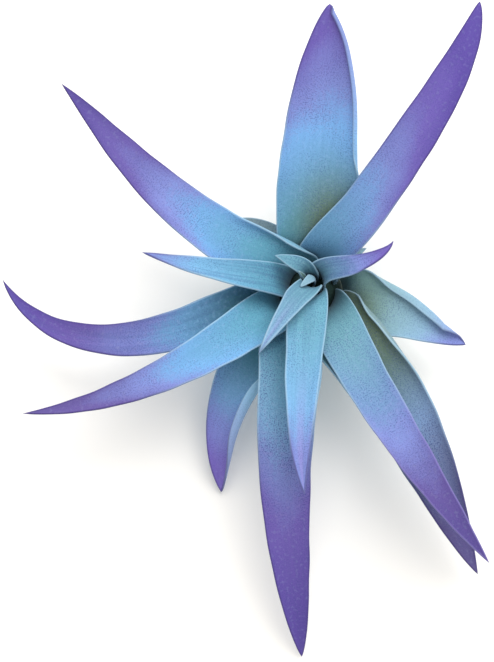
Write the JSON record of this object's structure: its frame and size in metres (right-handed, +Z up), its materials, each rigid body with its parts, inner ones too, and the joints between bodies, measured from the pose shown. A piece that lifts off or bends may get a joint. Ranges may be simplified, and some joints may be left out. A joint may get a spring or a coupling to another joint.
{
  "type": "tillandsia capitata air plant",
  "caption": "Potless air plant rosette: short stem with long channelled leaves that arch outward and taper to violet tips.",
  "frame": {"origin": "centre of the stem's flat foot, on the rosette's axis, where the plant rests", "axes": "+Z up along the rosette's axis; +X to the right and +Y to the top of the view from above"},
  "size_m": [0.1596, 0.2054, 0.0616],
  "materials": {
    "heart_leaf": "matte",
    "inner_leaf": "matte",
    "outer_leaf": "matte",
    "under_leaf": "matte",
    "stem": "matte"
  },
  "bodies": {
    "root": {"stem": "stem", "heart_tongue": "heart_leaf", "heart_bud_left": "heart_leaf", "heart_bud_low": "heart_leaf", "young_leaf_11": "inner_leaf", "young_leaf_3": "inner_leaf", "young_leaf_7": "inner_leaf", "inner_leaf_9": "inner_leaf", "inner_leaf_6": "inner_leaf", "long_leaf_10": "outer_leaf", "long_leaf_1": "outer_leaf", "long_leaf_5": "outer_leaf", "long_leaf_8": "outer_leaf", "broad_leaf_12": "outer_leaf", "broad_leaf_5": "outer_leaf", "long_leaf_6": "outer_leaf", "short_leaf_4": "outer_leaf", "curved_leaf_9": "outer_leaf", "rolled_leaf_7": "outer_leaf", "under_leaf_10": "under_leaf", "under_leaf_2": "under_leaf"}
  },
  "joints": []
}
